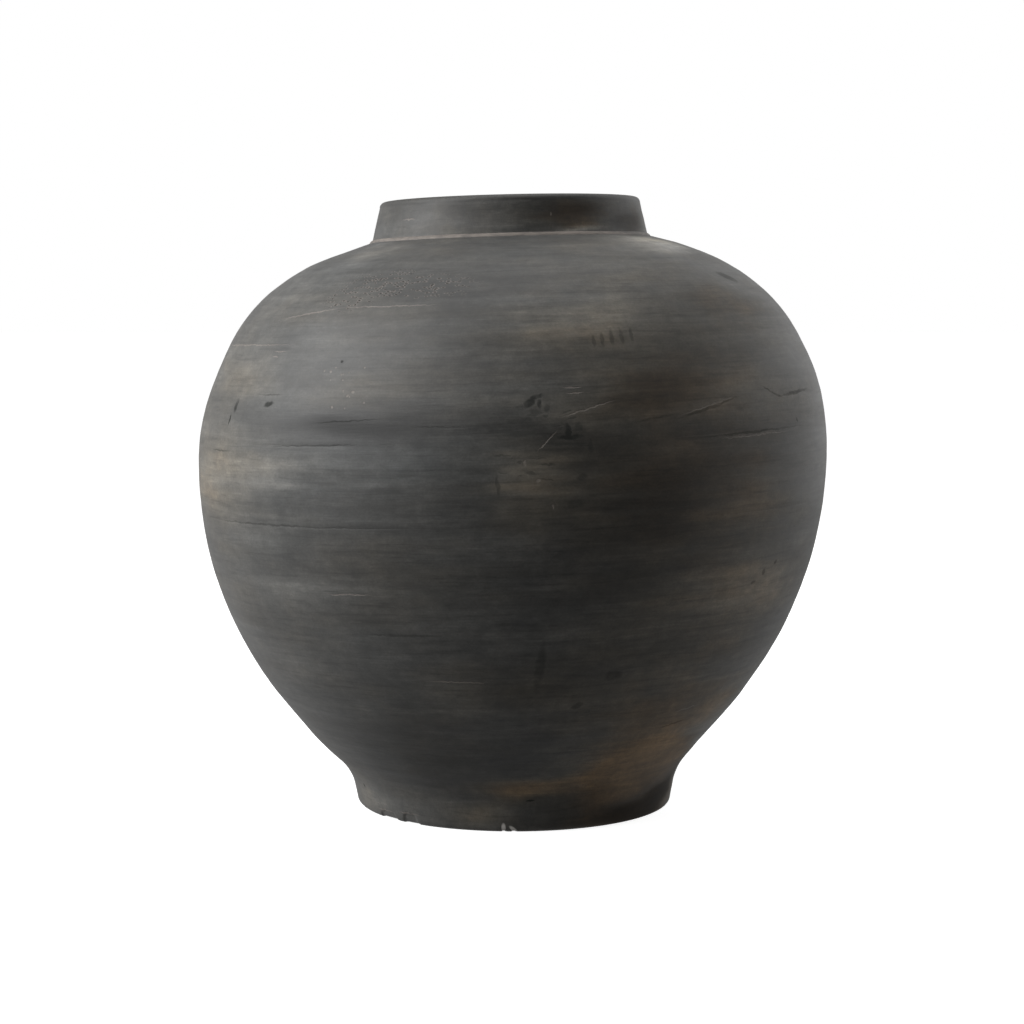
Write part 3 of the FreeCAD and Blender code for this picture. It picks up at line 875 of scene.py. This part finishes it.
def smoked_clay(node_name, reach):
    """Smoke-blackened clay: clouded colour with some painted shade, level striations from burnishing, pits
    and scratches.

    reach is the stretch of the outside that the piece shows. Only the marks on it are drawn.
    """
    material = bpy.data.materials.new("smoked_clay_" + node_name)
    material.use_nodes = True
    tree = material.node_tree
    shader = tree.nodes["Principled BSDF"]
    warmth, paleness = attribute(tree, "warmth", "Fac"), attribute(tree, "paleness", "Fac")
    hairs = ring_noise(tree, 30, 700, 3.0)
    strokes = ring_noise(tree, 15, 180, 4.0, 3.0)
    dabs = ring_noise(tree, 110, 200, 4.0, 5.0)
    cloud = ring_noise(tree, 34, 60, 5.0, 7.0)
    grain = ring_noise(tree, 620, 800, 3.0, 11.0)
    streaks = ring_noise(tree, 24, 380, 3.0, 13.0)

    unrolled, place = shaken_place(tree)
    broken = soft_step(tree, ring_noise(tree, 120, 120, 3.0, 17.0), 0.30, 0.55, 0.45, 1.0)
    dark, faint, pale = (
        math_node(tree, "MULTIPLY", marks_mask(tree, marks_on(marks, reach), place), broken)
        for marks in (DARK_MARKS, FAINT_MARKS, PALE_MARKS))
    chips = marks_mask(tree, marks_on(WHITE_CHIPS, reach), unrolled)
    pits, ridge = drag_marks(tree, reach, unrolled, place)
    half_faint = math_node(tree, "MULTIPLY", faint, 0.5)
    darker = math_node(tree, "MULTIPLY", math_node(tree, "MAXIMUM", dark, half_faint), 0.9)
    paler = math_node(tree, "MAXIMUM", math_node(tree, "MULTIPLY", pale, 0.6),
                      math_node(tree, "MULTIPLY", ridge, 0.55))

    # Brightness doubles with each step of tone. The offset about takes out what the noises add.
    tone = math_node(tree, "ADD", paleness, TONE_OFFSET)
    for noise, amount in ((hairs, 0.5), (strokes, 0.8), (dabs, 1.3), (cloud, 1.2), (grain, 0.9)):
        tone = math_node(tree, "MULTIPLY_ADD", noise, amount, tone)
    tone = math_node(tree, "ADD", tone, soft_step(tree, streaks, 0.54, 0.68, -0.22, -0.6))
    tone = math_node(tree, "ADD", tone, soft_step(tree, streaks, 0.44, 0.32, 0.0, 0.25))
    brightness = math_node(tree, "POWER", 2.0, tone)
    hue = math_node(tree, "MULTIPLY_ADD", math_node(tree, "SUBTRACT", cloud, 0.5), 0.35, warmth)
    clay = ramp(tree, hue, *CLAY_BY_WARMTH)
    colour = node(tree, "VectorMath", {0: clay, "Scale": brightness}, operation="SCALE").outputs[0]
    colour = mix(tree, darker, colour, SOOT)
    colour = mix(tree, math_node(tree, "MULTIPLY", pits, 0.8), colour, PIT_SHADE)
    colour = mix(tree, paler, colour, BARE_CLAY)
    colour = mix(tree, chips, colour, FRESH_BREAK)
    tree.links.new(colour, shader.inputs["Base Color"])

    dull = soft_step(tree, hue, 0.1, 0.9, 0.52, 0.70)
    dull = math_node(tree, "MULTIPLY_ADD", math_node(tree, "SUBTRACT", hairs, 0.5), 0.14, dull)
    dull = math_node(tree, "MULTIPLY_ADD", pits, 0.2, dull)
    dull = math_node(tree, "MULTIPLY_ADD", darker, 0.35, dull)
    sooty = soft_step(tree, paleness, -0.8, -2.5, 0.0, 0.25)
    dull = math_node(tree, "ADD", dull, sooty, use_clamp=True)
    tree.links.new(dull, shader.inputs["Roughness"])

    height = math_node(tree, "MULTIPLY", hairs, 0.55)
    for relief, amount in ((strokes, 1.1), (grain, 0.22), (pits, -4.0), (darker, -0.8), (pale, -1.2)):
        height = math_node(tree, "MULTIPLY_ADD", relief, amount, height)
    bumps = node(tree, "Bump", {"Height": height, "Distance": 0.09 * MM, "Strength": 1.0})
    tree.links.new(bumps.outputs["Normal"], shader.inputs["Normal"])
    return material


def pale_slip():
    """The rubbed slip at the root of the neck."""
    material = bpy.data.materials.new("pale_slip")
    material.use_nodes = True
    tree = material.node_tree
    shader = tree.nodes["Principled BSDF"]
    rub = ring_noise(tree, 70, 400, 4.0, 5.0)
    grain = ring_noise(tree, 900, 900, 2.0, 9.0)
    tone = math_node(tree, "MULTIPLY_ADD", attribute(tree, "paleness", "Fac"), 0.25, rub)
    colour = ramp(tree, tone, (0.30, (0.090, 0.080, 0.072)), (0.50, (0.145, 0.126, 0.110)),
                  (0.75, (0.190, 0.165, 0.146)))
    tree.links.new(colour, shader.inputs["Base Color"])
    shader.inputs["Roughness"].default_value = 0.62
    height = math_node(tree, "MULTIPLY_ADD", grain, 0.6, rub)
    bumps = node(tree, "Bump", {"Height": height, "Distance": 0.1 * MM, "Strength": 1.0})
    tree.links.new(bumps.outputs["Normal"], shader.inputs["Normal"])
    return material


for name, piece in pieces.items():
    if name == "neck_joint_bead":
        piece.data.materials.append(pale_slip())
    else:
        piece.data.materials.append(smoked_clay(name, OUTER_REACH.get(name, (0, 0))))

# ---------------------------------------------------------------- stage, light and camera
# The floor is a white light table. It shows white with only a faint shadow, throws no light on the
# jar, and lets light from below through.
FLOOR_REACH = 30
corners = [(-1, -1), (1, -1), (1, 1), (-1, 1)]
floor_mesh = bpy.data.meshes.new("floor")
floor_mesh.from_pydata([(x * FLOOR_REACH, y * FLOOR_REACH, 0) for x, y in corners], [], [(0, 1, 2, 3)])
floor_piece = bpy.data.objects.new("floor", floor_mesh)
bpy.context.scene.collection.objects.link(floor_piece)
floor_piece.visible_diffuse = floor_piece.visible_glossy = floor_piece.visible_shadow = False
floor_material = bpy.data.materials.new("floor_white")
floor_material.use_nodes = True
floor_shader = floor_material.node_tree.nodes["Principled BSDF"]
floor_shader.inputs["Base Color"].default_value = (0.6, 0.6, 0.6, 1)
floor_shader.inputs["Roughness"].default_value = 1.0
floor_shader.inputs["Specular IOR Level"].default_value = 0.0
floor_shader.inputs["Emission Color"].default_value = (1, 1, 1, 1)
floor_shader.inputs["Emission Strength"].default_value = 0.88
floor_mesh.materials.append(floor_material)


LIT_POINT = Vector((0, 0, 0.2))
LAMP_DISTANCE = 1.7


def softbox(name, azimuth, elevation, size, power):
    """A square softbox that faces the jar's middle. azimuth is 0 in front, + towards +X."""
    lamp = bpy.data.lights.new(name, "AREA")
    lamp.size = size
    lamp.energy = power
    turn_by, lift = math.radians(azimuth), math.radians(elevation)
    away = Vector((math.cos(lift) * math.sin(turn_by), -math.cos(lift) * math.cos(turn_by), math.sin(lift)))
    box = bpy.data.objects.new(name, lamp)
    box.location = LIT_POINT + away * LAMP_DISTANCE
    box.rotation_euler = (-away).to_track_quat("-Z", "Y").to_euler()
    box.visible_camera = False
    bpy.context.scene.collection.objects.link(box)


softbox("left_softbox", -70, 33, 1.6, 36)
softbox("right_softbox", 122, 25, 2.0, 11)
softbox("top_softbox", 0, 90, 1.5, 13.5)

# The studio's walls: bright at the sides and behind, dark in front. The camera sees plain white.
world = bpy.data.worlds.new("studio")
world.use_nodes = True
bpy.context.scene.world = world
sky = world.node_tree
direction = node(sky, "TexCoord").outputs["Generated"]
towards = node(sky, "SeparateXYZ", {0: direction}).outputs
glow = soft_step(sky, towards["X"], -0.2, -1.0, 0.0, 0.70)
WALLS = (("X", 0.5, 1.0, 0.48), ("Y", -0.3, 1.0, 0.50), ("Z", 0.0, -1.0, 0.11))
for axis, starts, full, brightest in WALLS:
    glow = math_node(sky, "ADD", glow, soft_step(sky, towards[axis], starts, full, 0.0, brightest))
seen = node(sky, "LightPath").outputs["Is Camera Ray"]
strength = node(sky, "Mix", {"Factor": seen, "A": glow, "B": 1.0}, data_type="FLOAT").outputs["Result"]
background = sky.nodes["Background"]
background.inputs["Color"].default_value = (1, 1, 1, 1)
sky.links.new(strength, background.inputs["Strength"])
bpy.context.scene.view_settings.view_transform = "Standard"

CAMERA_PLACE = (0, -1.5, 0.3165)
LOOKING_DOWN = 0.08635          # radians below level
camera_data = bpy.data.cameras.new("camera")
camera_data.sensor_width = 36
camera_data.lens = 82.3
camera = bpy.data.objects.new("camera", camera_data)
camera.location = CAMERA_PLACE
camera.rotation_euler = (math.pi / 2 - LOOKING_DOWN, 0, 0)
bpy.context.scene.collection.objects.link(camera)
bpy.context.scene.camera = camera
